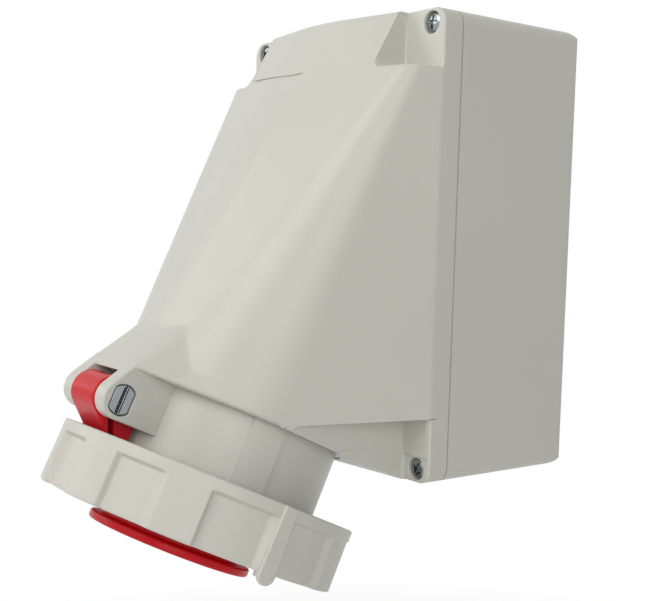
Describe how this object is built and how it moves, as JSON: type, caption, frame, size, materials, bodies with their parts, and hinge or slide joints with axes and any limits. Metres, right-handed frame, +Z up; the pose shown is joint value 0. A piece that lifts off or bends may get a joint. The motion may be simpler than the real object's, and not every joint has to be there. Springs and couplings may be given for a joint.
{
  "type": "industrial socket outlet",
  "caption": "Wall-mounted pin-and-sleeve power socket with a deep box, a sloping hood, a hinged red lid and a bayonet locking ring.",
  "frame": {"origin": "middle of the face that lies on the wall", "axes": "+Z up the wall, +Y into the wall, the outlet stands out towards -Y"},
  "size_m": [0.156, 0.2411, 0.2802],
  "materials": {
    "shell": "fine moulded grain",
    "ring": "satin moulded",
    "red": "satin moulded",
    "carrier": "moulded",
    "rubber": "matte",
    "brass": "turned",
    "steel": "plated"
  },
  "bodies": {
    "housing": {"rear_box": "shell", "box_gasket": "rubber", "screw_inserts": "brass", "blanking_plug": "shell", "blanking_seal": "rubber", "hood": "shell", "collar": "shell", "cover_screws": "steel", "contact_carrier": "carrier", "contact_cover": "carrier", "carrier_flange": "carrier", "carrier_gasket": "rubber", "contact_plate": "carrier", "carrier_screws": "steel", "plate_screws": "steel", "contact_l1": "brass", "contact_l2": "brass", "contact_l3": "brass", "contact_neutral": "brass", "contact_earth": "brass", "contact_pilot": "brass", "contact_springs": "steel", "terminal_screws": "steel", "hinge_pin": "steel", "pin_clip": "steel", "lid_spring": "steel"},
    "lid_assembly": {"lid": "red", "lid_gasket": "rubber"},
    "lock_ring": {"locking_ring": "ring"}
  },
  "joints": [
    {"name": "lid_hinge", "type": "hinge", "parent": "housing", "child": "lid_assembly", "pos_m": [0, -0.21987, -0.06858], "axis": [-1, 0, 0], "range_deg": [0, 110], "stiffness_Nm_per_rad": 0.12, "springref_deg": -126.05, "deforming": ["lid_spring"]},
    {"name": "ring_turn", "type": "hinge", "parent": "lid_assembly", "child": "lock_ring", "pos_m": [0, -0.16844, -0.12511], "axis": [0, 0.4226, 0.9063], "range_deg": [0, 42]}
  ]
}
